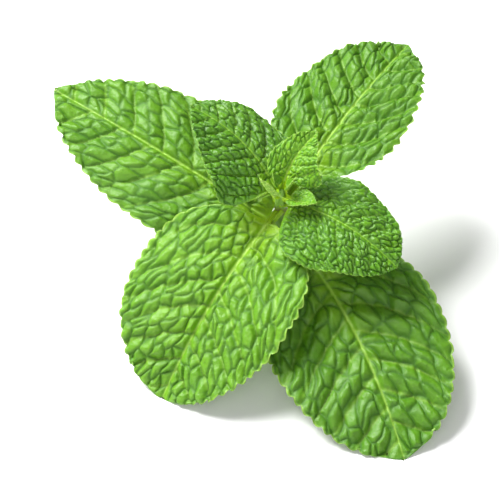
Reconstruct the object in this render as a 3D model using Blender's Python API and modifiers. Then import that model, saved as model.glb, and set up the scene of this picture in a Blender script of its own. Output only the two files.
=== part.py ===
"""Mint sprig: a picked shoot tip lying on a table with its rosette facing up.

The tables below are in millimetres, measured from a point in the middle of the crown.
Leaves stand in opposite pairs, each pair a quarter turn round from the one below it.
The tips of the two front leaves and the cut end of the stem touch the table.
"""

import math
from dataclasses import dataclass

import bmesh
import bpy
import numpy as np

MM = 0.001

# Stem: rounded square section, centre line from the cut end to the growing tip.
JOINTS = {
    "lower": (1.0, 3.5, -15.0),
    "middle": (0.3, 1.2, -5.5),
    "upper": (0.0, -1.2, -2.0),
    "crown": (0.1, -2.0, 0.6),
    "tip": (0.2, -2.2, 2.0),
}
STEM_FOOT = [(8.5, 31.0, -31.7), (5.2, 20.0, -28.4), (2.6, 10.0, -22.4)]
STEM_HALF_THICKNESS = [1.75, 1.65, 1.6, 1.65, 1.35, 1.15, 0.85, 0.5]
STEM_SIDES = 12
STEM_SQUARENESS = 4.0
STEM_STEPS = 4
WELD = 0.01

# Leaves.
BLADE_THICKNESS = 0.5
STALK_THICKNESS = 1.5
STALK_HALF_WIDTH = 0.9
SLIM_STALK = 0.1            # a small leaf's stalk, as a share of its width
STEM_CORNER = 1.3           # how far a corner of the stem stands out, in half thicknesses
STEM_CLEARANCE = 0.5        # from there to the start of the leaf stalk
WAVE_TURNS, WAVE_SKEW = 2.25, 2.0
RIB_FADE, RIB_WEIGHT = 3, 0.35
STALK_FADE = 1.6            # the stalk's thickness is gone this many stalk lengths from the stem
ROWS, COLUMNS = 16, 8
SMALL_ROWS, SMALL_COLUMNS = 9, 6
SMALL_LEAF, SMALL_EXTRA = 16.0, 0.25
STALK_MIDDLE = 0.75         # where the stalk's one row between its ends lies
FIRST_ROW, TIP_END = 0.12, 0.993

LEAF_ROUGHNESS, STEM_ROUGHNESS = 0.42, 0.5

LEAF_GREEN = (0.075, 0.235, 0.022)
OLD_GREEN = (0.045, 0.165, 0.016)
YOUNG_GREEN = (0.150, 0.330, 0.035)
STEM_GREEN = (0.160, 0.270, 0.050)


@dataclass
class Leaf:
    name: str
    joint: str
    tip: tuple          # where the blade ends
    width: float        # across the blade
    stalk: float = 0.12         # share of the length that is stalk
    bow: float = 3.0            # height of the midrib over a straight line
    sway: float = 0.0           # the same to the left, seen from above
    roll: tuple = (0.0, 0.0)    # left edge up, in degrees, at the stalk and at the tip
    fold: tuple = (8.0, 8.0)    # rise of the left and right half from the midrib
    curl: tuple = (-14.0, -14.0)    # how much that rise has changed at the margin
    fullness: tuple = (0.85, 0.85)  # left and right; below 1 that half is widest nearer the stalk
    point: float = 0.5          # above 0.5 the blade ends in a point
    lean: float = 0.0           # share by which the left half is wider, the right one narrower
    wave: float = 0.5           # height of the margin's waves
    colour: tuple = LEAF_GREEN


LEAVES = [
    Leaf("lower_leaf_left", "lower", (-48.3, 29.5, 1.5), 33.0, stalk=0.03, bow=3.5, sway=2.2,
         roll=(-13.0, -12.0), fold=(3.0, 14.0), curl=(-34.0, -18.0), fullness=(0.7, 0.55)),
    Leaf("lower_leaf_front", "lower", (25.8, -46.5, -32.9), 39.0, stalk=0.12, bow=4.5, sway=1.5,
         roll=(6.0, 8.0), fold=(4.0, 2.0), curl=(-10.0, -10.0), colour=OLD_GREEN),
    Leaf("middle_leaf_front", "middle", (-25.5, -29.5, -33.4), 39.5, stalk=0.06, bow=4.0,
         roll=(-2.0, -8.0), fold=(14.0, 16.0), curl=(-16.0, -26.0), fullness=(0.78, 0.9)),
    Leaf("middle_leaf_back", "middle", (28.0, 42.2, 3.8), 29.5, stalk=0.14, bow=2.6,
         fold=(12.0, 9.0), curl=(-12.0, -8.0), point=0.55, colour=OLD_GREEN),
    Leaf("upper_leaf_left", "upper", (-18.8, 12.5, 13.0), 22.8, stalk=0.04, bow=2.5, sway=-1.4,
         roll=(-4.0, -4.0), fold=(4.0, 4.0), curl=(-40.0, -36.0), fullness=(0.46, 0.62), lean=0.08,
         colour=OLD_GREEN),
    Leaf("upper_leaf_right", "upper", (24.4, -15.6, -7.2), 24.3, stalk=0.02, bow=3.6,
         roll=(12.0, 12.0), fold=(9.0, 6.0), curl=(-34.0, -40.0), fullness=(0.66, 0.6),
         lean=-0.05),
    Leaf("crown_leaf_back", "crown", (7.6, 4.6, 12.6), 13.0, stalk=0.1, bow=0.6, sway=1.2,
         roll=(8.0, 8.0), fold=(38.0, 12.0), curl=(-30.0, -24.0), fullness=(0.8, 0.8),
         point=0.75, lean=-0.25, wave=0.3, colour=YOUNG_GREEN),
    Leaf("crown_leaf_front", "crown", (-4.0, -5.6, 8.6), 6.5, stalk=0.1, bow=-0.6,
         fold=(16.0, 16.0), curl=(-10.0, -10.0), point=0.7, wave=0.1, colour=YOUNG_GREEN),
    Leaf("crown_leaf_side", "crown", (7.4, -7.0, 3.1), 6.4, stalk=0.1, bow=-0.6,
         fold=(34.0, 30.0), curl=(-16.0, -16.0), point=0.7, wave=0.1, colour=YOUNG_GREEN),
    Leaf("tip_leaf_right", "tip", (2.7, -2.6, 5.8), 3.0, stalk=0.1, bow=-0.3,
         fold=(34.0, 34.0), curl=(-10.0, -10.0), point=0.7, wave=0.0, colour=YOUNG_GREEN),
    Leaf("tip_leaf_left", "tip", (-1.7, -1.2, 6.2), 3.0, stalk=0.1, bow=-0.3,
         fold=(34.0, 34.0), curl=(-10.0, -10.0), point=0.7, wave=0.0, colour=YOUNG_GREEN),
]


def through(points, steps):
    """Smooth curve through the points (Catmull-Rom), with steps stretches between two."""
    points = np.asarray(points, float)
    padded = np.vstack([2 * points[0] - points[1], points, 2 * points[-1] - points[-2]])
    curve = []
    for a, b, c, d in zip(padded, padded[1:], padded[2:], padded[3:]):
        for t in np.arange(steps) / steps:
            curve.append(0.5 * (2 * b + (c - a) * t + (2 * a - 5 * b + 4 * c - d) * t**2
                                + (3 * b - a - 3 * c + d) * t**3))
    return np.array(curve + [points[-1]])


def unit(vectors):
    return vectors / np.linalg.norm(vectors, axis=-1, keepdims=True)


def stem_path():
    """Centre line of the stem with its half thickness as a fourth column."""
    points = STEM_FOOT + list(JOINTS.values())
    return through([p + (h,) for p, h in zip(points, STEM_HALF_THICKNESS)], STEM_STEPS)


def midrib(leaf, along):
    """Points of the midrib at the shares along of its length, and its three directions."""
    joint, tip = np.array(JOINTS[leaf.joint]), np.array(leaf.tip)
    half_stem = STEM_HALF_THICKNESS[len(STEM_FOOT) + list(JOINTS).index(leaf.joint)]
    chord = unit(tip - joint)
    left = unit(np.cross((0, 0, 1), chord))
    bend = joint + (tip - joint) / 2 + 2 * (leaf.bow * np.cross(chord, left) + leaf.sway * left)
    start = joint + unit(bend - joint) * (half_stem * STEM_CORNER + STEM_CLEARANCE)
    s = along[:, None]
    points = (1 - s) ** 2 * start + 2 * s * (1 - s) * bend + s**2 * tip
    forward = unit((1 - s) * (bend - start) + s * (tip - bend))
    left = unit(np.cross((0, 0, 1), forward))
    up = np.cross(forward, left)
    roll = np.radians(leaf.roll[0] + (leaf.roll[1] - leaf.roll[0]) * s)
    return points, np.cos(roll) * left + np.sin(roll) * up, np.cos(roll) * up - np.sin(roll) * left


def half_widths(leaf, along, across):
    """Distance out from the midrib, for each share along of the length and across of the width."""
    side = (across < 0).astype(int)
    fullness = np.array(leaf.fullness)[side]
    reach = np.clip((along[:, None] - leaf.stalk) / (1 - leaf.stalk), 0, 1) ** fullness
    widest = 0.5 / (0.5 + leaf.point)
    most = widest**0.5 * (1 - widest) ** leaf.point
    blade = leaf.width / 2 * reach**0.5 * (1 - reach) ** leaf.point / most
    stalk = min(STALK_HALF_WIDTH, leaf.width * SLIM_STALK) * (1 - along[:, None] ** 3)
    return np.hypot(blade, stalk) * (1 + leaf.lean * np.sign(across))


def blade_points(leaf, along, across):
    """Points of the leaf's upper side; across runs from -1 at the right to 1 at the left."""
    points, left, up = midrib(leaf, along)
    out = half_widths(leaf, along, across) * np.abs(across)
    side = (across < 0).astype(int)
    fold = np.radians(np.array(leaf.fold))[side]
    curl = np.radians(np.array(leaf.curl))[side] / (leaf.width / 2)
    sideways = (np.sin(fold + curl * out) - np.sin(fold)) / curl * np.sign(across)
    height = (np.cos(fold) - np.cos(fold + curl * out)) / curl
    turn = 2 * math.pi * WAVE_TURNS * along[:, None] + WAVE_SKEW * across
    height += leaf.wave * across**2 * np.sin(turn)
    return points[:, None] + sideways[..., None] * left[:, None] + height[..., None] * up[:, None]


def rows_along(leaf, rows):
    """Shares of the length: the stalk's ends and middle, then closer rows to both blade ends."""
    blade = (1 - np.cos(np.linspace(FIRST_ROW, 1, rows - 1) * math.pi)) / 2
    blade = blade / blade[-1] * TIP_END
    return np.concatenate([[0, leaf.stalk * STALK_MIDDLE], leaf.stalk + (1 - leaf.stalk) * blade])


def material(name, colour, roughness):
    made = bpy.data.materials.new(name)
    made.use_nodes = True
    shader = made.node_tree.nodes["Principled BSDF"]
    shader.inputs["Base Color"].default_value = (*colour, 1)
    shader.inputs["Roughness"].default_value = roughness
    shader.inputs["Metallic"].default_value = 0.0
    return made


def add_object(name, mesh, colour, roughness, collection, parent):
    made = bpy.data.objects.new(name, mesh)
    mesh.materials.append(material(name, colour, roughness))
    collection.objects.link(made)
    made.parent = parent
    return made


def add_leaf(leaf, collection, parent):
    """One leaf, stalk and blade: a grid laid on the blade's surface, thickened underneath."""
    small = leaf.width < SMALL_LEAF
    rows, columns = (SMALL_ROWS, SMALL_COLUMNS) if small else (ROWS, COLUMNS)
    along = rows_along(leaf, rows)
    across = np.linspace(-1, 1, columns + 1)
    surface = blade_points(leaf, along, across) * MM

    shape = bmesh.new()
    bmesh.ops.create_grid(shape, x_segments=rows, y_segments=columns, size=1)
    weight = shape.verts.layers.deform.verify()
    for vertex in shape.verts:
        row = round((vertex.co.x + 1) / 2 * rows)
        column = round((vertex.co.y + 1) / 2 * columns)
        vertex.co = surface[row, column]
        stalk = max(0.0, 1 - along[row] / (leaf.stalk * STALK_FADE))
        rib = RIB_WEIGHT * (1 - along[row]) * (1 - abs(across[column])) ** RIB_FADE
        vertex[weight][0] = min(1.0, max(stalk, rib))
    mesh = bpy.data.meshes.new(leaf.name)
    shape.to_mesh(mesh)
    shape.free()
    mesh.shade_smooth()

    made = add_object(leaf.name, mesh, leaf.colour, LEAF_ROUGHNESS, collection, parent)
    made.vertex_groups.new(name="stalk")
    slim = min(1.0, leaf.width / SMALL_LEAF + SMALL_EXTRA)
    shell = made.modifiers.new("thickness", "SOLIDIFY")
    shell.thickness = STALK_THICKNESS * MM * slim
    shell.offset = -1
    shell.vertex_group = "stalk"
    shell.thickness_vertex_group = BLADE_THICKNESS / STALK_THICKNESS


def add_stem(collection, parent):
    """The stem: a rounded square section swept along its centre line, thinner to the tip."""
    outline = bpy.data.curves.new("stem_section", "CURVE")
    ring = outline.splines.new("POLY")
    ring.points.add(STEM_SIDES - 1)
    ring.use_cyclic_u = True
    for point, angle in zip(ring.points, np.arange(STEM_SIDES) * 2 * math.pi / STEM_SIDES):
        c, s = math.cos(angle), math.sin(angle)
        reach = (abs(c) ** STEM_SQUARENESS + abs(s) ** STEM_SQUARENESS) ** (-1 / STEM_SQUARENESS)
        point.co = (c * reach * MM, s * reach * MM, 0, 1)
    section = bpy.data.objects.new("stem_section", outline)
    section.hide_render = True
    section.display_type = "WIRE"
    guides = bpy.data.collections.new("guides")
    bpy.context.scene.collection.children.link(guides)
    guides.objects.link(section)

    line = bpy.data.curves.new("stem_line", "CURVE")
    line.dimensions = "3D"
    line.bevel_mode = "OBJECT"
    line.bevel_object = section
    line.use_fill_caps = True
    path = stem_path()
    spline = line.splines.new("POLY")
    spline.points.add(len(path) - 1)
    for point, (x, y, z, half_thickness) in zip(spline.points, path):
        point.co = (x * MM, y * MM, z * MM, 1)
        point.radius = half_thickness
    swept = bpy.data.objects.new("stem_line", line)
    guides.objects.link(swept)

    bpy.context.view_layer.update()
    evaluated = swept.evaluated_get(bpy.context.evaluated_depsgraph_get())
    mesh = bpy.data.meshes.new_from_object(evaluated)
    bpy.data.objects.remove(swept)
    shape = bmesh.new()
    shape.from_mesh(mesh)
    bmesh.ops.remove_doubles(shape, verts=shape.verts, dist=WELD * MM)
    bmesh.ops.recalc_face_normals(shape, faces=shape.faces)
    shape.to_mesh(mesh)
    shape.free()
    mesh.materials.clear()
    add_object("stem", mesh, STEM_GREEN, STEM_ROUGHNESS, collection, parent)


def centre_on_table(root, collection):
    """Moves the sprig so that the origin is the middle of its footprint, on the table."""
    bpy.context.view_layer.update()
    graph = bpy.context.evaluated_depsgraph_get()
    corners = []
    for part in collection.objects:
        if part.type == "MESH":
            mesh = part.evaluated_get(graph).to_mesh()
            corners += [part.matrix_world @ vertex.co for vertex in mesh.vertices]
    corners = np.array(corners)
    low, high = corners.min(axis=0), corners.max(axis=0)
    root.location = (-(low[0] + high[0]) / 2, -(low[1] + high[1]) / 2, -low[2])


def main():
    for old in list(bpy.data.objects):
        bpy.data.objects.remove(old)
    collection = bpy.data.collections.new("mint_sprig")
    bpy.context.scene.collection.children.link(collection)
    root = bpy.data.objects.new("sprig", None)
    collection.objects.link(root)
    add_stem(collection, root)
    for leaf in LEAVES:
        add_leaf(leaf, collection, root)
    centre_on_table(root, collection)


main()
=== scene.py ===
"""Mint sprig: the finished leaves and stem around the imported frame, with floor, light and camera."""

import math
from dataclasses import dataclass

import bpy
import numpy as np
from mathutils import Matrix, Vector


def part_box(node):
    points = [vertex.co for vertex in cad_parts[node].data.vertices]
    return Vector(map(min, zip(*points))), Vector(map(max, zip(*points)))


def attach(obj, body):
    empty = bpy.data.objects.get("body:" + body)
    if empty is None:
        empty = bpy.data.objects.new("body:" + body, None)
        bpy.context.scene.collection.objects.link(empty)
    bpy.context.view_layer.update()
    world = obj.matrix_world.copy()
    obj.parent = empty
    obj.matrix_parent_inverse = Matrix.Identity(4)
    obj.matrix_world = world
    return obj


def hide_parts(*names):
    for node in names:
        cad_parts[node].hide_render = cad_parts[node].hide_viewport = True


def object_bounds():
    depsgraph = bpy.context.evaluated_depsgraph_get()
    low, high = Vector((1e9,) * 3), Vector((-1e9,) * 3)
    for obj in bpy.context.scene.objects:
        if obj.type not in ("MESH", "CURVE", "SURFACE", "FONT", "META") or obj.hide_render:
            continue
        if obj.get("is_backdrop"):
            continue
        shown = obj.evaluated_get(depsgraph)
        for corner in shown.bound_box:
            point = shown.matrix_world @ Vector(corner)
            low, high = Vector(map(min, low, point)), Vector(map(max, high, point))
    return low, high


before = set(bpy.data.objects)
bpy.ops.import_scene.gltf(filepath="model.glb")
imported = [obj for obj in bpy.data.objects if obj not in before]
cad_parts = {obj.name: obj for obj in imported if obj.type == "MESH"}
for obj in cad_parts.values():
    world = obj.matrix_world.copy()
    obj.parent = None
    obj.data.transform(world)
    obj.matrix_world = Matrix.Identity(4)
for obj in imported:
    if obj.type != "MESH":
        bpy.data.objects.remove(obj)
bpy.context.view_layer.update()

MM = 0.001

# The sprig's own frame: millimetres from a point in the middle of the crown.
JOINTS = {
    "lower": (1.0, 3.5, -15.0),
    "middle": (0.3, 1.2, -5.5),
    "upper": (0.0, -1.2, -2.0),
    "crown": (0.1, -2.0, 0.6),
    "tip": (0.2, -2.2, 2.0),
}
STEM_FOOT = [(8.5, 31.0, -31.7), (5.2, 20.0, -28.4), (2.6, 10.0, -22.4)]
STEM_HALF_THICKNESS = [1.75, 1.65, 1.6, 1.65, 1.35, 1.15, 0.85, 0.5]
CAD_ROWS = 40

FLOOR_GAP = 0.03            # least height of the finish over the floor, millimetres

# Leaf surface, in millimetres where it is a length.
STEM_CORNER = 1.3           # half thicknesses from the stem's middle to where a stalk starts
STALK_CLEARANCE = 0.5       # and this much further
MARGIN_WAVES = 4.5          # half waves of the margin along a leaf
WAVE_SKEW = 2               # how far the wave is ahead at the left margin, in radians
BLADE_THICKNESS = 0.26
THIN_BLADE = (0.45, 40)     # a narrow blade's share of that thickness, and the width that adds 1
STALK_HALF_WIDTH = 0.9
STALK_THICKNESS = 1.35
STALK_SHARE = 0.1           # most of the leaf's width that half its stalk may be
STALK_SINK = 2.0            # how far a finished stalk runs on into the stem
SMALL_WIDTH = 12            # leaves narrower than this sink less
STALK_ROWS = 20
STALK_TAPER = 0.9           # share of the stalk's width that the midrib loses towards the tip
CHANNEL = (0.22, 0.45)      # depth of the stalk's groove, and its share of the half width
TIP_HALF_WIDTH = 0.06
TIP_CLOSES = 0.999          # share of the blade where it closes to its tip
APEX_START = 0.9            # share of the blade where the drawn-out tip starts
APEX_WIDTH = 0.07           # share of the leaf's width that is drawn out
COLUMN_CROWDING = 0.35      # how much closer the grid's columns are at the margins and midrib

# Marginal teeth.
TOOTH_LEAN = 1.5            # above 1 a tooth leans to the blade's tip
TOOTH_ROUNDNESS = 0.65      # below 1 its crown is round and its notch sharp
TOOTH_LEVEL = 0.6           # height in a tooth where the plain margin runs
TOOTH_LENGTHS = (0.75, 1.25)    # least and most, as shares of the leaf's own
NOTCH_DEPTHS = (0.65, 1.2)
TEETH_START = (0.03, 0.2)   # shares of the blade between which they grow
TEETH_END = (0.93, 0.985)   # and between which they fade
MARGIN_POWER = 9            # how closely the teeth keep to the margin
RIPPLE = 0.35               # rise and fall of the margin with its teeth
EDGE_POWER = 24             # how suddenly the edge rounds off

# Raised underside.
KEEL = (1.1, 1.4, 0.18)     # height under the midrib, how fast it fades, and what is left
KEEL_LEAF = 30              # leaves narrower than this have a lower keel
KEEL_WIDTH = (0.45, 0.35)   # at the tip, and what the stalk's end has more
RIB_HEIGHT = 0.28           # under a side vein whose groove above is RIB_GROOVE deep
RIB_GROOVE = 0.3
RIB_FADE = 0.5              # share that a rib loses towards the tip
SMALL_RIB = 0.07


@dataclass
class Leaf:
    name: str
    joint: str
    tip: tuple          # where the blade ends
    width: float        # across the blade
    stalk: float = 0.12         # share of the length that is stalk
    bow: float = 3.0            # height of the midrib over a straight line
    sway: float = 0.0           # the same to the left, seen from above
    roll: tuple = (0.0, 0.0)    # left edge up, in degrees, at the stalk and at the tip
    fold: tuple = (8.0, 8.0)    # rise of the left and right half from the midrib
    curl: tuple = (-14.0, -14.0)    # how much that rise has changed at the margin
    fullness: tuple = (0.85, 0.85)  # left and right; below 1 that half is widest nearer the stalk
    point: float = 0.5          # above 0.5 the blade ends in a point
    lean: float = 0.0           # share by which the left half is wider, the right one narrower
    wave: float = 0.5           # height of the margin's waves
    # The finish, which the solids leave out.
    slot: str = "mature_leaf"
    veins: float = 7.0          # side veins to a half
    cell: float = 2.7           # size of the cells between the small veins
    quilt: float = 0.75         # height of the cells
    pleat: float = 0.35         # height of the blade between two side veins
    rib: float = 0.35           # depth of the side veins
    tooth: float = 2.9          # length of a marginal tooth
    bite: float = 0.8           # depth of the notches
    apex: float = 0.8           # extra length of the very tip
    age_and_shade: float = 0.1            # 1 is the darkest green: partly the colour of an old leaf, partly painted shade over the whole leaf
    rows: int = 236
    columns: int = 180


LEAVES = [
    Leaf("lower_leaf_left", "lower", (-48.3, 29.5, 1.5), 33.0, stalk=0.03, bow=3.5, sway=2.2,
         roll=(-13.0, -12.0), fold=(3.0, 14.0), curl=(-34.0, -18.0), fullness=(0.7, 0.55),
         cell=2.5, quilt=0.46, apex=1.8, age_and_shade=0.4),
    Leaf("lower_leaf_front", "lower", (25.8, -46.5, -32.9), 39.0, stalk=0.12, bow=4.5, sway=1.5,
         roll=(6.0, 8.0), fold=(4.0, 2.0), curl=(-10.0, -10.0), cell=3.4, quilt=0.56, pleat=0.5,
         age_and_shade=0.6),
    Leaf("middle_leaf_front", "middle", (-25.5, -29.5, -33.4), 39.5, stalk=0.06, bow=4.0,
         roll=(-2.0, -8.0), fold=(14.0, 16.0), curl=(-16.0, -26.0), fullness=(0.78, 0.9),
         cell=2.6, quilt=0.6, apex=0.4, age_and_shade=0.0),
    Leaf("middle_leaf_back", "middle", (28.0, 42.2, 3.8), 29.5, stalk=0.14, bow=2.6,
         fold=(12.0, 9.0), curl=(-12.0, -8.0), point=0.55, cell=2.2, quilt=0.5, pleat=0.7, apex=1.2,
         age_and_shade=0.6),
    Leaf("upper_leaf_left", "upper", (-18.8, 12.5, 13.0), 22.8, stalk=0.04, bow=2.5, sway=-1.4,
         roll=(-4.0, -4.0), fold=(4.0, 4.0), curl=(-40.0, -36.0), fullness=(0.46, 0.62), lean=0.08,
         slot="upper_leaf", cell=1.4, quilt=0.5, pleat=0.2, rib=0.25, tooth=1.9, bite=0.42,
         age_and_shade=0.5, apex=0.3, veins=6.0, rows=200, columns=160),
    Leaf("upper_leaf_right", "upper", (24.4, -15.6, -7.2), 24.3, stalk=0.02, bow=3.6,
         roll=(12.0, 12.0), fold=(9.0, 6.0), curl=(-34.0, -40.0), fullness=(0.66, 0.6),
         lean=-0.05, slot="upper_leaf", cell=1.4, quilt=0.55, pleat=0.2, rib=0.22, tooth=1.9,
         bite=0.42, apex=0.3, veins=6.0, rows=200, columns=160),
    Leaf("crown_leaf_back", "crown", (7.6, 4.6, 12.6), 13.0, stalk=0.1, bow=0.6, sway=1.2,
         roll=(8.0, 8.0), fold=(38.0, 12.0), curl=(-30.0, -24.0), fullness=(0.8, 0.8),
         point=0.75, lean=-0.25, wave=0.3, slot="young_leaf", cell=1.15, quilt=0.36, pleat=0.15,
         rib=0.16, tooth=1.4, bite=0.28, apex=0.3, veins=5.0, rows=150, columns=90),
    Leaf("crown_leaf_front", "crown", (-4.0, -5.6, 8.6), 6.5, stalk=0.1, bow=-0.6,
         fold=(16.0, 16.0), curl=(-10.0, -10.0), point=0.7, wave=0.1, slot="young_leaf",
         cell=0.9, quilt=0.2, pleat=0.08, rib=0.1, tooth=0.9, bite=0.14, apex=0.2, veins=5.0,
         rows=100, columns=60),
    Leaf("crown_leaf_side", "crown", (7.4, -7.0, 3.1), 6.4, stalk=0.1, bow=-0.6,
         fold=(34.0, 30.0), curl=(-16.0, -16.0), point=0.7, wave=0.1, slot="young_leaf",
         cell=0.9, quilt=0.2, pleat=0.08, rib=0.1, tooth=0.9, bite=0.14, apex=0.2, veins=5.0,
         rows=100, columns=60),
    Leaf("tip_leaf_right", "tip", (2.7, -2.6, 5.8), 3.0, stalk=0.1, bow=-0.3,
         fold=(34.0, 34.0), curl=(-10.0, -10.0), point=0.7, wave=0.0, slot="young_leaf",
         cell=0.6, quilt=0.1, pleat=0.04, rib=0.05, tooth=0.7, bite=0.06, apex=0.1, veins=4.0,
         rows=60, columns=36),
    Leaf("tip_leaf_left", "tip", (-1.7, -1.2, 6.2), 3.0, stalk=0.1, bow=-0.3,
         fold=(34.0, 34.0), curl=(-10.0, -10.0), point=0.7, wave=0.0, slot="young_leaf",
         cell=0.6, quilt=0.1, pleat=0.04, rib=0.05, tooth=0.7, bite=0.06, apex=0.1, veins=4.0,
         rows=60, columns=36),
]


# ---------------------------------------------------------------- the shape shared with the solids

def through(points, steps):
    """Smooth curve through the points (Catmull-Rom), with steps stretches between two."""
    points = np.asarray(points, float)
    padded = np.vstack([2 * points[0] - points[1], points, 2 * points[-1] - points[-2]])
    curve = []
    for a, b, c, d in zip(padded, padded[1:], padded[2:], padded[3:]):
        for t in np.arange(steps) / steps:
            curve.append(0.5 * (2 * b + (c - a) * t + (2 * a - 5 * b + 4 * c - d) * t**2
                                + (3 * b - a - 3 * c + d) * t**3))
    return np.array(curve + [points[-1]])


def unit(vectors):
    """The vectors at length 1."""
    return vectors / np.linalg.norm(vectors, axis=-1, keepdims=True)


def smooth_step(low, high, value):
    """0 up to low and 1 from high on, with an S-shaped rise between them."""
    t = np.clip((value - low) / (high - low), 0, 1)
    return t * t * (3 - 2 * t)


def midrib(leaf, along):
    """Points of the midrib at the shares along of its length, and the blade's left and up there."""
    joint, tip = np.array(JOINTS[leaf.joint]), np.array(leaf.tip)
    half_stem = STEM_HALF_THICKNESS[len(STEM_FOOT) + list(JOINTS).index(leaf.joint)]
    chord = unit(tip - joint)
    left = unit(np.cross((0, 0, 1), chord))
    bend = joint + (tip - joint) / 2 + 2 * (leaf.bow * np.cross(chord, left) + leaf.sway * left)
    start = joint + unit(bend - joint) * (half_stem * STEM_CORNER + STALK_CLEARANCE)
    s = np.asarray(along)[..., None]
    points = (1 - s) ** 2 * start + 2 * s * (1 - s) * bend + s**2 * tip
    forward = unit((1 - s) * (bend - start) + s * (tip - bend))
    left = unit(np.cross((0, 0, 1), forward))
    up = np.cross(forward, left)
    roll = np.radians(leaf.roll[0] + (leaf.roll[1] - leaf.roll[0]) * s)
    return points, np.cos(roll) * left + np.sin(roll) * up, np.cos(roll) * up - np.sin(roll) * left


def blade_half_width(leaf, reach, side):
    """Half width of the blade at the shares reach of its length; side is 0 left and 1 right."""
    t = np.clip(reach, 0, 1) ** np.array(leaf.fullness)[side]
    widest = 0.5 / (0.5 + leaf.point)
    most = widest**0.5 * (1 - widest) ** leaf.point
    return leaf.width / 2 * t**0.5 * (1 - t) ** leaf.point / most


def surface(leaf, along, out, across):
    """Points of the upper side, out millimetres from the midrib; across is -1 right to 1 left."""
    points, left, up = midrib(leaf, along)
    side = (across < 0).astype(int)
    fold = np.radians(np.array(leaf.fold))[side]
    curl = np.radians(np.array(leaf.curl))[side] / (leaf.width / 2)
    sideways = (np.sin(fold + curl * out) - np.sin(fold)) / curl * np.where(side, -1, 1)
    height = (np.cos(fold) - np.cos(fold + curl * out)) / curl
    wave = np.sin(MARGIN_WAVES * math.pi * along + WAVE_SKEW * across)
    height = height + leaf.wave * across**2 * wave
    return points + sideways[..., None] * left + height[..., None] * up


def plain_surface(leaf):
    """The blade's plain upper side, without teeth or quilting."""
    reach = (1 - np.cos(np.linspace(0, math.pi, CAD_ROWS))) / 2
    along = (leaf.stalk + (1 - leaf.stalk) * reach)[:, None]
    across = np.linspace(-1, 1, 9)[None, :]
    side = (across < 0).astype(int)
    width = blade_half_width(leaf, reach[:, None], side) * (1 + leaf.lean * np.sign(across))
    along, across, width = np.broadcast_arrays(along, across, width)
    return surface(leaf, along, width * np.abs(across), across)


def sprig_origin():
    """The sprig's own origin in the row frame, in millimetres, from where the large leaves lie."""
    found = []
    for leaf in LEAVES[:6]:
        low, high = (np.array(corner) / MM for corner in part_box(leaf.name))
        flat = plain_surface(leaf).reshape(-1, 3)
        shift = (low + high) / 2 - (flat.min(axis=0) + flat.max(axis=0)) / 2
        shift[2] = high[2] - flat[:, 2].max()
        found.append(shift)
    return np.median(found, axis=0)


ORIGIN = sprig_origin()


# ---------------------------------------------------------------- leaf relief

NOISE_GRID = 97

# Side veins.
VEIN_SPREAD = 0.35          # slant at the stalk, as a share of the slant further up
VEIN_CLIMB = (0.52, 0.36)   # straight and curved part of how far a vein climbs to the margin
VEIN_CURVE = 2.2
VEIN_STAGGER = 0.42         # how far the right half's veins are out of step
BAND = 0.78                 # distance between two veins, as a share of that along the midrib

# Cells between the small veins, as shares of the leaf's cell size where they are lengths.
HALVES_APART = 500.0        # keeps the seeds of the two halves away from each other, millimetres
WARP, WARP_SIZE = 0.30, 1.1     # bend of the cell borders, and the size of that bend
CELL_SQUEEZE = 1.1          # above 1 the cells are narrower across the leaf
CELL_SPACING = 0.2          # most that the spacing varies
CELL_SHIFT = 0.6            # how far the rows are out of step
CELL_SCATTER = (0.2, 0.24)  # along and across the leaf
CELL_COVER = 0.75           # share of the leaf's width that a half's cells cover
BATCH = 4000                # points worked on at once

# Relief. Heights are shares of the leaf's quilt, rib or pleat, and sizes shares of its cell size.
TILT = 0.11                 # spread of the cells' slopes
SWELL = (0.65, 0.7)         # least height of a cell, and how much more it may be
DOME_WIDTH = 0.46           # from a cell's border to its flat top
DOME_POWER = 2.6            # how steeply a cell rises
DOME_LEVEL = 0.55           # height in a cell where the plain surface runs
WRINKLE, WRINKLE_SIZE = 0.2, 0.42
PUCKER, PUCKER_SIZE = 0.8, 3.2
SMALL_GROOVE = (0.16, 0.07)     # depth and width of the small veins' grooves
VEIN_WIDTH = 0.16
MIDRIB_GROOVE = (1.6, 1.4)  # depth and width against a side vein's
MIDRIB_FADE = 0.6           # share that the midrib loses towards the tip
LINE_WIDTH = 0.085          # coloured line of a vein
PALE_RIM_AND_HIGHLIGHT = (0.965, 0.998)        # shares of the half width between which the pale rim starts: partly the margin's own paler colour, partly a painted highlight along the edge
HEART_SIZE = (0.2, 0.16)    # pale patch at the stalk, shares of the length and of the width


def soft_noise(a, b, size, seed):
    """Smooth seeded noise between about -1 and 1, with bumps size millimetres across."""
    random = np.random.default_rng(seed)
    grid = random.uniform(-1, 1, (NOISE_GRID, NOISE_GRID))
    a, b = a / size, b / size
    row, column = np.floor(a).astype(int), np.floor(b).astype(int)
    u, v = a - row, b - column
    u, v = u * u * (3 - 2 * u), v * v * (3 - 2 * v)
    row, next_row = row % NOISE_GRID, (row + 1) % NOISE_GRID
    column, next_column = column % NOISE_GRID, (column + 1) % NOISE_GRID
    near = grid[row, column] * (1 - u) + grid[next_row, column] * u
    far = grid[row, next_column] * (1 - u) + grid[next_row, next_column] * u
    return near * (1 - v) + far * v


def tooth_profile(phase):
    """Rounded tooth leaning to the blade's tip, 0 in the notches and 1 at its crown."""
    return np.abs(np.sin(math.pi * (phase % 1.0) ** TOOTH_LEAN)) ** TOOTH_ROUNDNESS


def vein_coordinate(leaf, s, x, length):
    """Counts the side veins: a whole number on each vein, growing from stalk to tip."""
    gap = length / leaf.veins
    spread = VEIN_SPREAD + (1 - VEIN_SPREAD) * smooth_step(0.0, 0.5, s / length)
    reach = np.abs(x) / (leaf.width / 2)
    straight, curved = VEIN_CLIMB
    climb = leaf.width / 2 * (straight * reach + curved * reach**VEIN_CURVE) * spread
    stagger = np.where(x > 0, 0.0, VEIN_STAGGER)
    return (s - climb) / gap + stagger, gap


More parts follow.
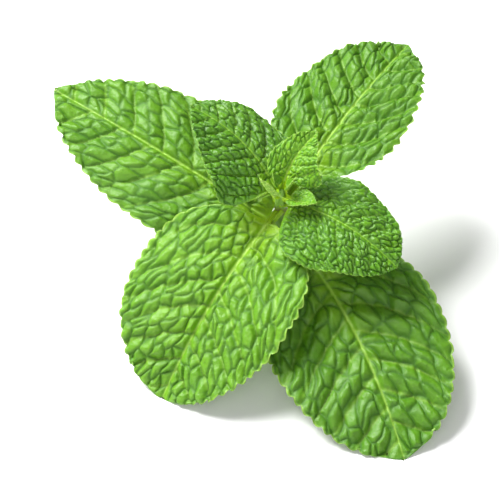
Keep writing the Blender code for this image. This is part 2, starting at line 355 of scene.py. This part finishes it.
def cell_pattern(leaf, s, x, length, seed):
    """Distance to the nearest small vein, each point's cell and place in it, and the cell count.

    The cells are those nearest to scattered seeds, which stand in strips along the side veins.
    """
    count, gap = vein_coordinate(leaf, s, x, length)
    band_height = gap * BAND
    warp = WARP * leaf.cell
    a = count * band_height + warp * soft_noise(s, x, leaf.cell * WARP_SIZE, seed + 2)
    b = np.abs(x) * CELL_SQUEEZE + np.where(x > 0, 0.0, HALVES_APART)
    b = b + warp * soft_noise(s, x, leaf.cell * WARP_SIZE, seed + 3)
    random = np.random.default_rng(seed)
    strips = max(2, round(band_height / leaf.cell))
    seeds = []
    for band in range(-3, int(leaf.veins) + 3):
        for strip in range(strips):
            for base in (0.0, HALVES_APART):
                step = leaf.cell * (1.0 + CELL_SPACING * random.random())
                first = base + random.random() * step * CELL_SHIFT
                for k in range(int(leaf.width * CELL_COVER / step) + 1):
                    place = band + (strip + 0.5) / strips
                    off_along = leaf.cell * CELL_SCATTER[0] * random.standard_normal()
                    off_across = leaf.cell * CELL_SCATTER[1] * random.standard_normal()
                    seeds.append((place * band_height + off_along, first + k * step + off_across))
    seeds = np.array(seeds)
    flat = np.stack([a.ravel(), b.ravel()], axis=1)
    edge = np.empty(len(flat))
    owner = np.empty(len(flat), int)
    place = np.empty((len(flat), 2))
    for start in range(0, len(flat), BATCH):
        here = slice(start, start + BATCH)
        part = flat[here]
        gaps = ((part[:, None] - seeds[None]) ** 2).sum(axis=2)
        pair = np.argpartition(gaps, 2, axis=1)[:, :2]
        near = np.take_along_axis(gaps, pair, axis=1)
        swap = near[:, 0] > near[:, 1]
        pair[swap] = pair[swap][:, ::-1]
        near[swap] = near[swap][:, ::-1]
        apart = np.linalg.norm(seeds[pair[:, 0]] - seeds[pair[:, 1]], axis=1)
        edge[here] = (near[:, 1] - near[:, 0]) / (2 * apart + 1e-6)
        owner[here] = pair[:, 0]
        place[here] = part - seeds[pair[:, 0]]
    return edge.reshape(s.shape), owner.reshape(s.shape), place.reshape(*s.shape, 2), len(seeds)


def relief(leaf, s, x, reach, across, length, seed):
    """Height of the quilted surface over the plain one, and the masks that the finish reads."""
    edge, owner, place, cells = cell_pattern(leaf, s, x, length, seed)
    count, gap = vein_coordinate(leaf, s, x, length)
    side_vein = np.abs(count - np.round(count)) * gap * BAND
    random = np.random.default_rng(seed + 1)
    tilt = TILT * random.standard_normal((cells, 2))
    tone = random.random(cells)
    swell = SWELL[0] + SWELL[1] * random.random(cells)

    inside = np.clip(edge / (leaf.cell * DOME_WIDTH), 0, 1)
    dome = 1 - (1 - inside) ** DOME_POWER
    on_blade = smooth_step(0.0, 0.08, reach)
    ending = smooth_step(0.0, 0.03, 1 - reach)
    calm = 1 - 0.5 * smooth_step(0.88, 1.0, np.abs(across))
    grown = on_blade * calm * ending * smooth_step(0.1, 1.2, np.abs(x))
    height = leaf.quilt * swell[owner] * (dome - DOME_LEVEL) * grown
    height += (tilt[owner] * place).sum(axis=-1) * inside * grown
    wrinkle = 1 - 2 * np.abs(soft_noise(s, x, leaf.cell * WRINKLE_SIZE, seed + 4))
    height += leaf.quilt * WRINKLE * wrinkle * inside * grown
    pucker = soft_noise(s, x, leaf.cell * PUCKER_SIZE, seed + 5)
    height += leaf.pleat * PUCKER * pucker * grown

    vein_width = VEIN_WIDTH * leaf.cell
    strength = on_blade * ending * (1 - 0.6 * smooth_step(0.55, 1.0, np.abs(across)))
    depth, width = SMALL_GROOVE
    height -= leaf.quilt * depth * grown * np.exp(-(edge / (width * leaf.cell)) ** 2)
    height -= leaf.rib * strength * np.exp(-(side_vein / vein_width) ** 2)
    between = 0.5 - 0.5 * np.cos(2 * math.pi * count)
    height += leaf.pleat * 2 * strength * (between - 0.5) * smooth_step(0.5, 3.0, np.abs(x))
    middle = 1 - MIDRIB_FADE * reach.clip(0, 1)
    depth, width = MIDRIB_GROOVE
    trough = np.exp(-(x / (vein_width * width)) ** 2)
    height -= leaf.rib * depth * middle * on_blade * ending * trough

    line = leaf.cell * LINE_WIDTH
    masks = {
        "midrib": middle**0.5 * np.exp(-(x / (line * width * middle)) ** 2),
        "side_vein": strength * np.exp(-(side_vein / line) ** 2),
        "small_vein": on_blade * np.exp(-(edge / line) ** 2),
        # groove: painted shade, darkest in the creases between the cells; the finish also makes them
        # rougher
        "groove": on_blade * (1 - inside) ** 3,
        "cell_tone": tone[owner],
        # rim: partly the margin's own paler colour, partly a painted highlight along the edge
        "rim": smooth_step(*PALE_RIM_AND_HIGHLIGHT, np.abs(across)) * on_blade,
        "heart": (np.exp(-np.clip(s, 0, None) / (HEART_SIZE[0] * length))
                  * np.exp(-(x / (HEART_SIZE[1] * leaf.width)) ** 2)),
        "stalk": 1 - smooth_step(-0.02, 0.03, reach),
        # Partly the darker green of older leaves, partly painted shade laid evenly over a leaf.
        "age_and_shade": np.full_like(s, leaf.age_and_shade),
    }
    return height, masks


def leaf_surfaces(leaf, seed):
    """Upper and lower points of the finished leaf on a grid, its masks and its flat places."""
    line, _, _ = midrib(leaf, np.linspace(0, 1, 80))
    total = np.linalg.norm(np.diff(line, axis=0), axis=1).sum()
    length = total * (1 - leaf.stalk)

    reach = (1 - np.cos(np.linspace(0, math.pi, leaf.rows))) / 2
    start = -(leaf.stalk * total + STALK_SINK * min(1.0, leaf.width / SMALL_WIDTH)) / length
    reach = np.concatenate([np.linspace(start, 0, STALK_ROWS, endpoint=False), reach])
    u = np.linspace(-1, 1, leaf.columns + 1)
    across = u - COLUMN_CROWDING * np.sin(2 * math.pi * u) / (2 * math.pi)
    reach, across = np.meshgrid(reach, across, indexing="ij")
    side = (across < 0).astype(int)

    stalk_half = min(STALK_HALF_WIDTH, leaf.width * STALK_SHARE)
    blade = blade_half_width(leaf, reach, side)
    stalk_here = stalk_half * (1 - STALK_TAPER * np.clip(reach, 0, 1) ** 2)
    width = np.hypot(blade, stalk_here) * (1 + leaf.lean * np.sign(across))
    width = np.maximum(width * (1 - smooth_step(TIP_CLOSES, 1.0, reach)), TIP_HALF_WIDTH)

    # Teeth: the margin moves out along its own normal, and the surface near it follows.
    s = reach * length
    x = across * width
    teeth, ripple = np.zeros_like(s), np.zeros_like(s)
    out_s, out_x = np.zeros_like(s), np.zeros_like(s)
    random = np.random.default_rng(seed + 6)
    for column, sign in ((0, -1), (-1, 1)):
        half = side[:, column][0] == side
        ds, dw = np.gradient(s[:, column]), np.gradient(width[:, column])
        step = np.hypot(ds, dw) + 1e-9
        run = np.cumsum(step)
        most = int(run[-1] / leaf.tooth) + 9
        ends = np.cumsum(leaf.tooth * random.uniform(*TOOTH_LENGTHS, most))
        phase = np.interp(run, np.concatenate([[0], ends]), np.arange(len(ends) + 1))
        bite = leaf.bite * random.uniform(*NOTCH_DEPTHS, len(ends) + 1)[phase.astype(int)]
        size = bite * smooth_step(*TEETH_START, reach[:, column])
        size = size * (1 - smooth_step(*TEETH_END, reach[:, column]))
        lift = (tooth_profile(phase) - TOOTH_LEVEL) * size
        teeth = np.where(half, lift[:, None], teeth)
        ripple = np.where(half, (np.sin(2 * math.pi * phase) * size)[:, None], ripple)
        out_s = np.where(half, (-dw / step)[:, None], out_s)
        out_x = np.where(half, (sign * ds / step)[:, None], out_x)
    near_rim = np.abs(across) ** MARGIN_POWER
    s = s + out_s * teeth * near_rim
    x = x + out_x * teeth * near_rim
    drawn_out = np.exp(-(x / (APEX_WIDTH * leaf.width)) ** 2)
    s = s + leaf.apex * smooth_step(APEX_START, 1.0, reach) * drawn_out

    along = leaf.stalk + (1 - leaf.stalk) * s / length
    plain = surface(leaf, along, np.abs(x), across)
    normal = unit(np.cross(np.gradient(plain, axis=0), np.gradient(plain, axis=1)))

    height, masks = relief(leaf, s, x, reach, across, length, seed)
    height += RIPPLE * ripple * near_rim
    edge_round = np.sqrt(np.clip(1 - np.abs(across) ** EDGE_POWER, 0, 1))
    to_tip = 1 - reach.clip(0, 1)
    keel_height, keel_power, keel_rest = KEEL
    keel = (keel_height * to_tip**keel_power + keel_rest) * min(1.0, leaf.width / KEEL_LEAF)
    keel = keel * np.exp(-(x / (KEEL_WIDTH[0] + KEEL_WIDTH[1] * to_tip)) ** 2)
    ribs = RIB_HEIGHT * leaf.rib / RIB_GROOVE * masks["side_vein"]
    ribs = ribs * (1 - RIB_FADE * reach.clip(0, 1))
    thin = BLADE_THICKNESS * min(1.0, THIN_BLADE[0] + leaf.width / THIN_BLADE[1])
    blade_thickness = (thin + keel + ribs + SMALL_RIB * masks["small_vein"]) * edge_round
    slim = stalk_half / STALK_HALF_WIDTH
    stalk_thickness = STALK_THICKNESS * slim * np.sqrt(np.clip(1 - across**2, 0, 1))
    channel = CHANNEL[0] * slim * np.exp(-(across / CHANNEL[1]) ** 2)
    thickness = masks["stalk"] * stalk_thickness + (1 - masks["stalk"]) * blade_thickness
    height = height - masks["stalk"] * channel

    top = plain + normal * height[..., None]
    under = plain + normal * (height - thickness)[..., None]
    widest = leaf.width * (1.05 + 2 * abs(leaf.lean))
    flat = np.stack([x / widest + 0.5, (reach - start) / (1 - start)], axis=-1)
    return top, under, masks, flat


# ---------------------------------------------------------------- meshes

# Places of a leaf's two sides in its UV map: size, corner, and the step from upper to lower.
UV_SIZE, UV_CORNER, UV_UNDER = (0.47, 0.96), (0.015, 0.02), (0.5, 0.0)

STEM_SIDES = 56
STEM_STEPS = 26             # rings between two points of the stem's line
STEM_LEFT = (1.0, -0.25, 0.0)   # about at right angles to the stem all the way
SQUARENESS = 4              # 2 is a round stem, more is squarer
SIDE_GROOVE = 0.10          # depth of the grooves in its four sides, share of the half thickness
JOINT_SWELL = 0.12          # how much thicker a joint is
JOINT_REACH = 1.6           # how far that goes along the stem
SWOLLEN_JOINTS = 2
WOBBLE = 0.012              # spread of the slow irregular waves on its sides
WOBBLE_WAVES = ((5, 0.3), (9, 0.7), (3, 1.3), (13, 0.2))    # count around, turn along it
STEM_SEED = 40
# Rings inside the last one at each end: share of its size, and depth or height in millimetres.
CUT_RINGS = ((0.93, -0.05), (0.78, 0.02), (0.55, 0.05), (0.3, 0.16), (0.12, 0.2))
TIP_RINGS = ((0.8, 0.12), (0.5, 0.25), (0.2, 0.3))
PITH_RINGS = (1.0, 1.0, 0.5, 0.0, 0.0)      # how much pith the cut's rings show, inmost first
CLOSING_UV = (0.95, 0.5)    # place of the inmost caps in the stem's UV map
CLOSING_HALF = 0.02


def grid_faces(index):
    """Quads between the neighbours in a grid of point numbers."""
    a, b = index[:-1, :-1], index[1:, :-1]
    c, d = index[1:, 1:], index[:-1, 1:]
    return np.stack([a, b, c, d], axis=-1).reshape(-1, 4)


def make_mesh(name, points, faces, masks, corner_uv):
    """A mesh from arrays, with float masks on its points and the flat places in a UV map."""
    mesh = bpy.data.meshes.new(name)
    mesh.vertices.add(len(points))
    mesh.vertices.foreach_set("co", points.astype(np.float32).ravel())
    mesh.loops.add(faces.size)
    mesh.loops.foreach_set("vertex_index", faces.astype(np.int32).ravel())
    mesh.polygons.add(len(faces))
    mesh.polygons.foreach_set("loop_start", np.arange(0, faces.size, 4, dtype=np.int32))
    mesh.update(calc_edges=True)
    mesh.validate()
    for key, values in masks.items():
        layer = mesh.attributes.new(key, "FLOAT", "POINT")
        layer.data.foreach_set("value", values.astype(np.float32).ravel())
    uv = mesh.uv_layers.new(name="OFBake")
    uv.data.foreach_set("uv", corner_uv.astype(np.float32).ravel())
    mesh.shade_smooth()
    return mesh


def add_piece(name, mesh, look):
    """The finished piece of one node: it rides on the body and replaces the node's solid."""
    piece = bpy.data.objects.new(name + "_finish", mesh)
    mesh.materials.append(look)
    bpy.context.scene.collection.objects.link(piece)
    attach(piece, "root")
    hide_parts(name)


def add_leaf(leaf, look, seed):
    """One finished leaf: an upper and a lower side that share the rim's points."""
    top, under, masks, flat = leaf_surfaces(leaf, seed)
    rows, columns = top.shape[:2]
    upper = np.arange(rows * columns).reshape(rows, columns)
    inner = np.zeros((rows, columns), bool)
    inner[1:-1, 1:-1] = True
    lower = upper.copy()
    lower[inner] = rows * columns + np.arange(inner.sum())

    points = np.concatenate([top.reshape(-1, 3), under[inner]])
    points = (points + ORIGIN) * MM
    points[:, 2] = np.maximum(points[:, 2], FLOOR_GAP * MM)
    layers = {k: np.concatenate([v.ravel(), v[inner]]) for k, v in masks.items()}
    layers["under"] = np.concatenate([np.zeros(rows * columns), np.ones(inner.sum())])

    top_faces, low_faces = grid_faces(upper), grid_faces(lower)[:, ::-1]
    flat = flat.reshape(-1, 2) * UV_SIZE + UV_CORNER
    corner_uv = np.concatenate([flat[top_faces], flat[top_faces[:, ::-1]] + UV_UNDER])
    mesh = make_mesh(leaf.name, points, np.concatenate([top_faces, low_faces]), layers, corner_uv)
    add_piece(leaf.name, mesh, look)


def add_stem(look):
    """Rounded square stem with grooved sides, swollen joints and a plain cut at its foot."""
    line = STEM_FOOT + list(JOINTS.values())
    path = through([p + (h,) for p, h in zip(line, STEM_HALF_THICKNESS)], STEM_STEPS)
    centre, half = path[:, :3], path[:, 3]
    run = np.concatenate([[0], np.cumsum(np.linalg.norm(np.diff(centre, axis=0), axis=1))])
    joints = [run[np.linalg.norm(centre - np.array(p), axis=1).argmin()] for p in JOINTS.values()]
    near_joint = sum(np.exp(-((run - joint) / JOINT_REACH) ** 2)
                     for joint in joints[:SWOLLEN_JOINTS]).clip(0, 1)
    half = half * (1 + JOINT_SWELL * near_joint)

    forward = unit(np.gradient(centre, axis=0))
    left = unit(np.cross(STEM_LEFT, forward))
    up = np.cross(forward, left)
    turn = np.arange(STEM_SIDES) * 2 * math.pi / STEM_SIDES + math.pi / 4
    c, s = np.cos(turn), np.sin(turn)
    square = (np.abs(c) ** SQUARENESS + np.abs(s) ** SQUARENESS) ** (-1 / SQUARENESS)
    square *= 1 - SIDE_GROOVE * np.cos(2 * turn) ** 8
    random = np.random.default_rng(STEM_SEED)
    wobble = sum(random.normal(0, WOBBLE) * np.sin(around * turn[None, :] + run[:, None] * twist)
                 for around, twist in WOBBLE_WAVES)
    reach = half[:, None] * (square[None, :] + wobble)
    ring = centre[:, None] + reach[..., None] * (c[None, :, None] * left[:, None]
                                                 + s[None, :, None] * up[:, None])

    # The cut is slightly dished, with a soft pith in the middle. The growing tip is rounded.
    caps = [centre[0] + (ring[0] - centre[0]) * share + forward[0] * depth
            for share, depth in CUT_RINGS]
    ends = [centre[-1] + (ring[-1] - centre[-1]) * share + forward[-1] * height
            for share, height in TIP_RINGS]
    rings = np.concatenate([np.array(caps[::-1]), ring, np.array(ends)])
    count = len(rings)
    index = np.arange(count * STEM_SIDES).reshape(count, STEM_SIDES)
    wrapped = np.concatenate([index, index[:, :1]], axis=1)
    faces = grid_faces(wrapped)[:, ::-1]
    points = rings.reshape(-1, 3)

    # Both ends close with a row of quads across the innermost ring.
    closing = []
    for row, flip in ((index[0], True), (index[-1], False)):
        for k in range(STEM_SIDES // 2 - 1):
            quad = [row[k], row[k + 1], row[STEM_SIDES - 2 - k], row[STEM_SIDES - 1 - k]]
            closing.append(quad[::-1] if flip else quad)
    faces = np.concatenate([faces, np.array(closing)])
    points = (points + ORIGIN) * MM
    points[:, 2] = np.maximum(points[:, 2], FLOOR_GAP * MM)

    beyond_cut = np.zeros(len(run) + len(ends))
    tinge = np.concatenate([np.zeros(len(caps)), near_joint, np.zeros(len(ends))])
    cut = np.concatenate([np.ones(len(caps)), beyond_cut])
    pith = np.concatenate([PITH_RINGS, beyond_cut])
    corner = np.broadcast_to(np.abs(np.sin(2 * turn))[None, :] ** 2, (count, STEM_SIDES))
    masks = {
        "tinge": np.repeat(tinge, STEM_SIDES),
        "cut": np.repeat(cut, STEM_SIDES),
        "pith": np.repeat(pith, STEM_SIDES),
        "corner": corner.ravel(),
    }
    u = np.arange(STEM_SIDES + 1) / STEM_SIDES
    v = np.linspace(0, 1, count)
    uv = np.stack(np.broadcast_arrays(u[None, :] * 0.9, v[:, None] * 0.98), axis=-1)
    place = np.arange(count * (STEM_SIDES + 1)).reshape(count, STEM_SIDES + 1)
    corner_uv = uv.reshape(-1, 2)[grid_faces(place)[:, ::-1]]
    closing_uv = np.zeros((len(closing), 4, 2)) + CLOSING_UV
    closing_uv += CLOSING_HALF * np.array([(-1, -1), (-1, 1), (1, 1), (1, -1)])
    mesh = make_mesh("stem", points, faces, masks, np.concatenate([corner_uv, closing_uv]))
    add_piece("stem", mesh, look)


# ---------------------------------------------------------------- materials

class Nodes:
    """Shorthand for building a material's node tree. A value is a number, colour or socket."""

    def __init__(self, name):
        self.material = bpy.data.materials.new(name)
        self.material.use_nodes = True
        self.tree = self.material.node_tree
        self.shader = self.tree.nodes["Principled BSDF"]

    def link(self, value, socket):
        """The value goes into the socket, by a link if it is itself a socket."""
        if isinstance(value, bpy.types.NodeSocket):
            self.tree.links.new(value, socket)
        else:
            socket.default_value = value

    def mask(self, name):
        """A float that the mesh has on its points."""
        node = self.tree.nodes.new("ShaderNodeAttribute")
        node.attribute_name = name
        return node.outputs["Fac"]

    def math(self, operation, a, b=0.0, clamp=False):
        node = self.tree.nodes.new("ShaderNodeMath")
        node.operation = operation
        node.use_clamp = clamp
        self.link(a, node.inputs[0])
        self.link(b, node.inputs[1])
        return node.outputs[0]

    def noise(self, scale, detail=2.0, roughness=0.5):
        """Noise in the object's own space; the scale is in waves to a metre."""
        place = self.tree.nodes.new("ShaderNodeTexCoord")
        node = self.tree.nodes.new("ShaderNodeTexNoise")
        self.tree.links.new(place.outputs["Object"], node.inputs["Vector"])
        node.inputs["Scale"].default_value = scale
        node.inputs["Detail"].default_value = detail
        node.inputs["Roughness"].default_value = roughness
        return node.outputs["Fac"]

    def mix(self, share, a, b):
        """Colour a with this share of colour b."""
        node = self.tree.nodes.new("ShaderNodeMix")
        node.data_type = "RGBA"
        self.link(share, node.inputs[0])
        self.link(a if isinstance(a, bpy.types.NodeSocket) else (*a, 1), node.inputs[6])
        self.link(b if isinstance(b, bpy.types.NodeSocket) else (*b, 1), node.inputs[7])
        return node.outputs[2]

    def coat(self, colour, mask, share, over):
        """The colour with over laid on it where the mask is, at most by this share."""
        return self.mix(self.math("MULTIPLY", self.mask(mask), share), colour, over)

    def spread(self, value, low, high):
        """value moved from 0..1 to low..high."""
        node = self.tree.nodes.new("ShaderNodeMapRange")
        self.link(value, node.inputs[0])
        node.inputs[3].default_value = low
        node.inputs[4].default_value = high
        return node.outputs[0]

    def juicy(self, weight, radius, scale):
        """Light that goes a little way into the flesh."""
        self.shader.inputs["Subsurface Weight"].default_value = weight
        self.shader.inputs["Subsurface Radius"].default_value = radius
        self.shader.inputs["Subsurface Scale"].default_value = scale

    def bump(self, height, distance, strength):
        node = self.tree.nodes.new("ShaderNodeBump")
        node.inputs["Strength"].default_value = strength
        node.inputs["Distance"].default_value = distance
        self.link(height, node.inputs["Height"])
        self.link(node.outputs["Normal"], self.shader.inputs["Normal"])


LEAF_IOR = 1.45
PATCHES = (-0.45, 1.15)     # range of the broad lighter patches; below 0 there is none
FLECKS = 0.25               # share of deep colour in the finest flecks
DULL = 0.16                 # how much rougher the grooves and the underside are
FLECK_DULL = 0.14           # and the flecks
GRAIN = 0.45                # height of the grain against the flecks
STEM_PATCHES, TINGE_PATCHES, STEM_ROUGHNESS = (-0.2, 1.2), (0.15, 0.95), (0.34, 0.56)


def leaf_look(name, body, deep, light, vein, heart, under, sheen):
    """Quilted mint leaf: body colour, deep green as painted shade in the grooves, light on the cells,
    paler beneath.
    """
    n = Nodes(name)
    patch = n.noise(110.0, 3.0)
    fine = n.noise(900.0, 3.0, 0.6)
    grain = n.noise(3000.0, 3.0)
    colour = n.mix(n.spread(patch, *PATCHES), body, light)
    colour = n.coat(colour, "cell_tone", 0.3, light)
    colour = n.mix(n.math("MULTIPLY", fine, FLECKS), colour, deep)
    # Painted light among these coats: the deep colour in the creases is painted shade, the per-leaf
    # darkening is partly painted shade, and the pale rim is partly a painted highlight.
    for mask, share, over in (("age_and_shade", 0.55, deep), ("heart", 0.9, heart), ("groove", 0.75, deep),
                              ("side_vein", 0.25, vein), ("midrib", 0.62, vein), ("rim", 0.5, vein)):
        colour = n.coat(colour, mask, share, over)
    pale = under
    for mask, share in (("small_vein", 0.35), ("side_vein", 0.6), ("midrib", 0.8)):
        pale = n.coat(pale, mask, share, vein)
    colour = n.mix(n.mask("under"), colour, pale)
    colour = n.mix(n.mask("stalk"), colour, heart)
    n.link(colour, n.shader.inputs["Base Color"])
    dull = n.math("MULTIPLY", n.math("ADD", n.mask("groove"), n.mask("under"), clamp=True), DULL)
    rough = n.math("ADD", n.math("ADD", dull, sheen), n.math("MULTIPLY", fine, FLECK_DULL))
    n.link(rough, n.shader.inputs["Roughness"])
    n.shader.inputs["IOR"].default_value = LEAF_IOR
    n.juicy(weight=0.12, radius=(0.35, 0.75, 0.08), scale=0.0006)
    bumps = n.math("ADD", fine, n.math("MULTIPLY", grain, GRAIN))
    n.bump(bumps, distance=0.0003, strength=0.7)
    return n.material


def stem_look():
    """Streaked green stem with paler corners, brown-tinged joints and a pale cut."""
    n = Nodes("stem_green")
    streak = n.noise(380.0, 4.0, 0.6)
    fine = n.noise(2400.0, 2.0)
    green, light, corner = (0.115, 0.27, 0.025), (0.20, 0.37, 0.05), (0.27, 0.42, 0.08)
    brown, cut, pith = (0.16, 0.065, 0.035), (0.42, 0.52, 0.20), (0.66, 0.68, 0.42)
    colour = n.mix(n.spread(streak, *STEM_PATCHES), green, light)
    colour = n.coat(colour, "corner", 0.35, corner)
    colour = n.coat(colour, "tinge", n.spread(streak, *TINGE_PATCHES), brown)
    colour = n.mix(n.mask("cut"), colour, cut)
    colour = n.mix(n.mask("pith"), colour, pith)
    n.link(colour, n.shader.inputs["Base Color"])
    n.link(n.spread(streak, *STEM_ROUGHNESS), n.shader.inputs["Roughness"])
    n.juicy(weight=0.15, radius=(0.6, 0.9, 0.2), scale=0.0015)
    bumps = n.math("ADD", streak, n.math("MULTIPLY", fine, 0.3))
    n.bump(bumps, distance=0.0001, strength=0.5)
    return n.material


# deep is the dark green of the flecks, and also the painted shade in the grooves and on darkened
# leaves.
LOOKS = {
    "mature_leaf": leaf_look(
        "mature_leaf", body=(0.092, 0.262, 0.003), deep=(0.024, 0.110, 0.002),
        light=(0.160, 0.365, 0.010), vein=(0.36, 0.58, 0.08), heart=(0.24, 0.42, 0.002),
        under=(0.19, 0.36, 0.08), sheen=0.38),
    "upper_leaf": leaf_look(
        "upper_leaf", body=(0.074, 0.235, 0.003), deep=(0.018, 0.095, 0.002),
        light=(0.140, 0.340, 0.010), vein=(0.30, 0.53, 0.05), heart=(0.21, 0.40, 0.003),
        under=(0.18, 0.35, 0.075), sheen=0.29),
    "young_leaf": leaf_look(
        "young_leaf", body=(0.130, 0.315, 0.004), deep=(0.035, 0.170, 0.004),
        light=(0.210, 0.430, 0.020), vein=(0.46, 0.68, 0.12), heart=(0.28, 0.48, 0.005),
        under=(0.20, 0.38, 0.045), sheen=0.34),
}


# ---------------------------------------------------------------- the sprig

FIRST_SEED, SEED_STEP = 100, 7      # a leaf uses the seven seeds from its own on

for number, leaf in enumerate(LEAVES):
    add_leaf(leaf, LOOKS[leaf.slot], seed=FIRST_SEED + SEED_STEP * number)
add_stem(stem_look())


# ---------------------------------------------------------------- floor, light and camera

FLOOR_SIZE = 1.4
CAMERA_LIFT = math.radians(45)
CAMERA_DISTANCE = 0.62
CAMERA_LENS = 206
CAMERA_AIM = (0, -0.003, -0.003)    # from the middle of the sprig
# Backdrop: sine of the elevation where it starts and stops to darken, and its strengths there.
HORIZON_FADE = (0.06, 0.30, 0.98, 0.36)


def add_floor():
    """White floor, wide enough to meet the pale backdrop in low views."""
    bpy.ops.mesh.primitive_plane_add(size=FLOOR_SIZE, location=(0, 0, 0))
    floor = bpy.context.object
    floor.name = "floor"
    n = Nodes("floor_white")
    n.link(n.mix(n.noise(3.0), (0.90, 0.90, 0.90), (0.92, 0.92, 0.92)), n.shader.inputs["Base Color"])
    n.shader.inputs["Roughness"].default_value = 0.7
    floor.data.materials.append(n.material)
    floor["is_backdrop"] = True


def add_light(name, place, size, power, target=(0, 0, 0.02)):
    """Square lamp that faces the target."""
    lamp = bpy.data.lights.new(name, "AREA")
    lamp.shape = "SQUARE"
    lamp.size = size
    lamp.energy = power
    holder = bpy.data.objects.new(name, lamp)
    bpy.context.scene.collection.objects.link(holder)
    holder.location = place
    aim = Vector(target) - Vector(place)
    holder.rotation_euler = aim.to_track_quat("-Z", "Y").to_euler()


def add_camera():
    """Looks down at 45 degrees with +X to the right, from far enough to flatten perspective."""
    low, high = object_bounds()
    centre = (low + high) / 2 + Vector(CAMERA_AIM)
    data = bpy.data.cameras.new("camera")
    data.lens = CAMERA_LENS
    camera = bpy.data.objects.new("camera", data)
    bpy.context.scene.collection.objects.link(camera)
    back = Vector((0, -math.cos(CAMERA_LIFT), math.sin(CAMERA_LIFT)))
    camera.location = centre + back * CAMERA_DISTANCE
    camera.rotation_euler = (-back).to_track_quat("-Z", "Y").to_euler()
    bpy.context.scene.camera = camera


def add_world():
    """White studio, brightest near the horizon so that low views still see a pale backdrop."""
    world = bpy.data.worlds.new("studio")
    world.use_nodes = True
    tree = world.node_tree
    background = tree.nodes["Background"]
    background.inputs["Color"].default_value = (1.0, 1.0, 1.0, 1)
    place = tree.nodes.new("ShaderNodeTexCoord")
    split = tree.nodes.new("ShaderNodeSeparateXYZ")
    fade = tree.nodes.new("ShaderNodeMapRange")
    tree.links.new(place.outputs["Generated"], split.inputs[0])
    tree.links.new(split.outputs["Z"], fade.inputs["Value"])
    for socket, value in zip(list(fade.inputs)[1:5], HORIZON_FADE):
        socket.default_value = value
    tree.links.new(fade.outputs["Result"], background.inputs["Strength"])
    bpy.context.scene.world = world


add_floor()
add_light("key", place=(-0.5, 0.28, 0.88), size=0.52, power=24.0)
add_light("fill", place=(-0.05, -0.9, 0.75), size=0.8, power=4.5)
add_world()
add_camera()
bpy.context.scene.view_settings.view_transform = "Standard"
